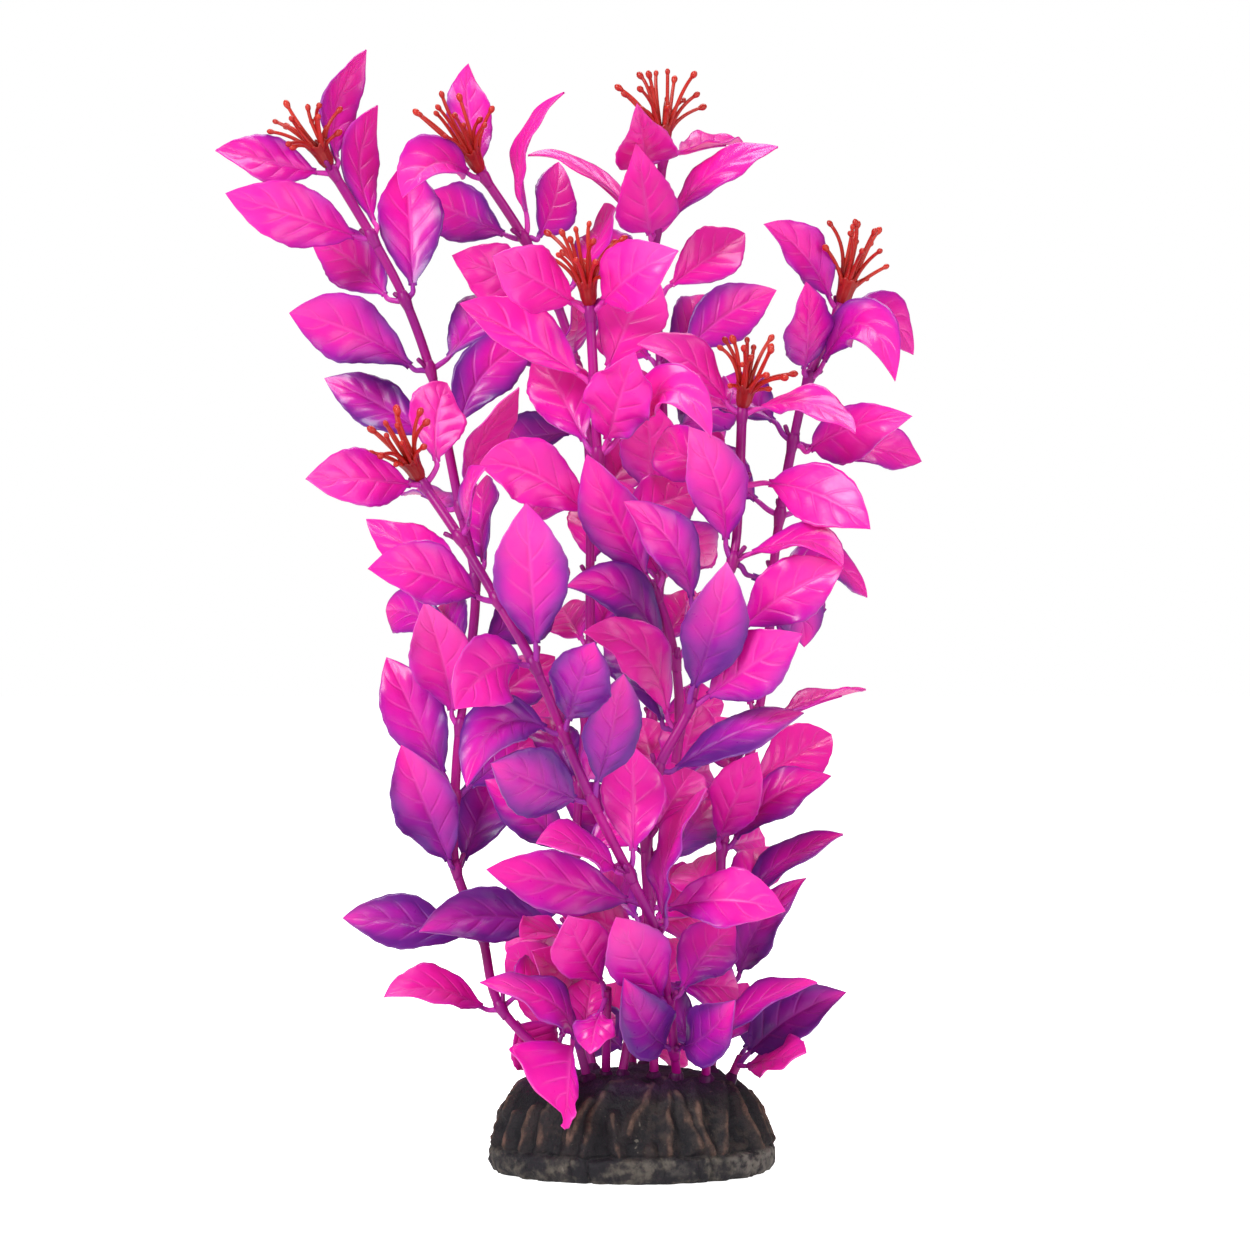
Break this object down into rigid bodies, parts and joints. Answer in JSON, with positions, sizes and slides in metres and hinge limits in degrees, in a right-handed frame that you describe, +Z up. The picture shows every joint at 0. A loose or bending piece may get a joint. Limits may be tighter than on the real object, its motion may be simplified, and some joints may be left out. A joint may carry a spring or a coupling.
{
  "type": "plastic aquarium ludwigia plant",
  "caption": "Bushy pink and violet plastic ludwigia with red flower tufts, standing on a weighted bark-textured base for an aquarium floor.",
  "frame": {"origin": "middle of the base's flat underside", "axes": "+Z up along the stems, -Y towards the side the picture shows, +X to its right"},
  "size_m": [0.1895, 0.1552, 0.3023],
  "materials": {
    "base": "cast resin, matt, near black with brown ridges",
    "stem": "moulded magenta plastic, satin",
    "leaf": "moulded plastic, pink shaded to violet, soft gloss, embossed veins",
    "flower": "translucent red plastic, satin"
  },
  "bodies": {
    "root": {"base": "base", "stem_1": "stem", "stem_2": "stem", "stem_3": "stem", "stem_4": "stem", "stem_5": "stem", "stem_6": "stem", "stem_7": "stem", "leaves_1_1": "leaf", "leaves_1_2": "leaf", "leaves_1_3": "leaf", "leaves_1_4": "leaf", "leaves_1_5": "leaf", "leaves_1_6": "leaf", "leaves_2_1": "leaf", "leaves_2_2": "leaf", "leaves_2_3": "leaf", "leaves_2_4": "leaf", "leaves_2_5": "leaf", "leaves_2_6": "leaf", "leaves_3_1": "leaf", "leaves_3_2": "leaf", "leaves_3_3": "leaf", "leaves_3_4": "leaf", "leaves_3_5": "leaf", "leaves_3_6": "leaf", "leaves_4_1": "leaf", "leaves_4_2": "leaf", "leaves_4_3": "leaf", "leaves_4_4": "leaf", "leaves_4_5": "leaf", "leaves_5_1": "leaf", "leaves_5_2": "leaf", "leaves_5_3": "leaf", "leaves_5_4": "leaf", "leaves_5_5": "leaf", "leaves_6_1": "leaf", "leaves_6_2": "leaf", "leaves_6_3": "leaf", "leaves_6_4": "leaf", "leaves_7_1": "leaf", "leaves_7_2": "leaf", "leaves_7_3": "leaf", "leaves_7_4": "leaf", "shoot_1": "leaf", "shoot_2": "leaf", "shoot_3": "leaf", "shoot_4": "leaf", "shoot_5": "leaf", "shoot_6": "leaf", "flower_1": "flower", "flower_2": "flower", "flower_3": "flower", "flower_4": "flower", "flower_5": "flower", "flower_6": "flower", "flower_7": "flower"}
  },
  "joints": []
}
